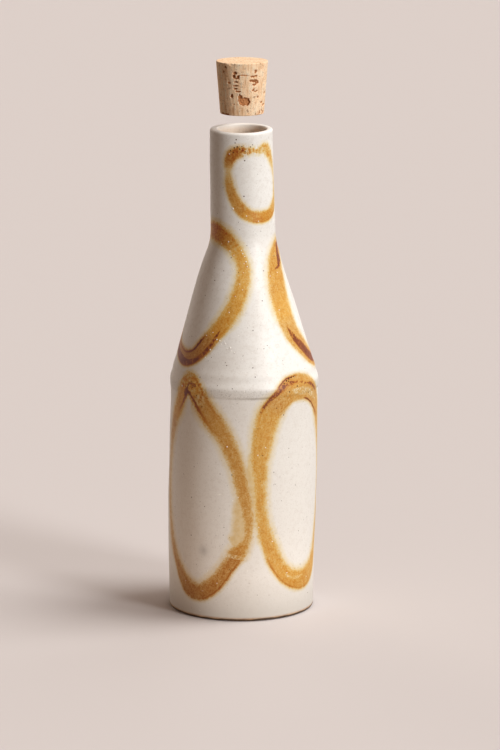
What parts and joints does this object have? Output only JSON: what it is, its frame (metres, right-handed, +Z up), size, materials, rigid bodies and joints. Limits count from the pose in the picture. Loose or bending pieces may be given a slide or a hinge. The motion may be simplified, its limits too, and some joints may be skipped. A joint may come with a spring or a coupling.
{
  "type": "bottle",
  "caption": "Tall thrown stoneware bottle with a conical shoulder, a straight narrow neck and a tapered cork stopper; it stores and pours liquids.",
  "frame": {"origin": "centre of the foot ring, on the surface that the bottle stands on", "axes": "+Z up along the bottle's axis towards the mouth; -Y towards the viewer, with +X to the viewer's right"},
  "size_m": [0.0774, 0.0774, 0.2855],
  "materials": {
    "glazed_stoneware": "satin",
    "natural_cork": "matte"
  },
  "bodies": {
    "bottle": {"bottle_body": "glazed_stoneware"},
    "cork": {"cork_stopper": "natural_cork"}
  },
  "joints": [
    {"name": "cork_pull", "type": "slide", "parent": "bottle", "child": "cork", "axis": [0, 0, 1], "range_m": [-0.02617, 0.045]}
  ]
}
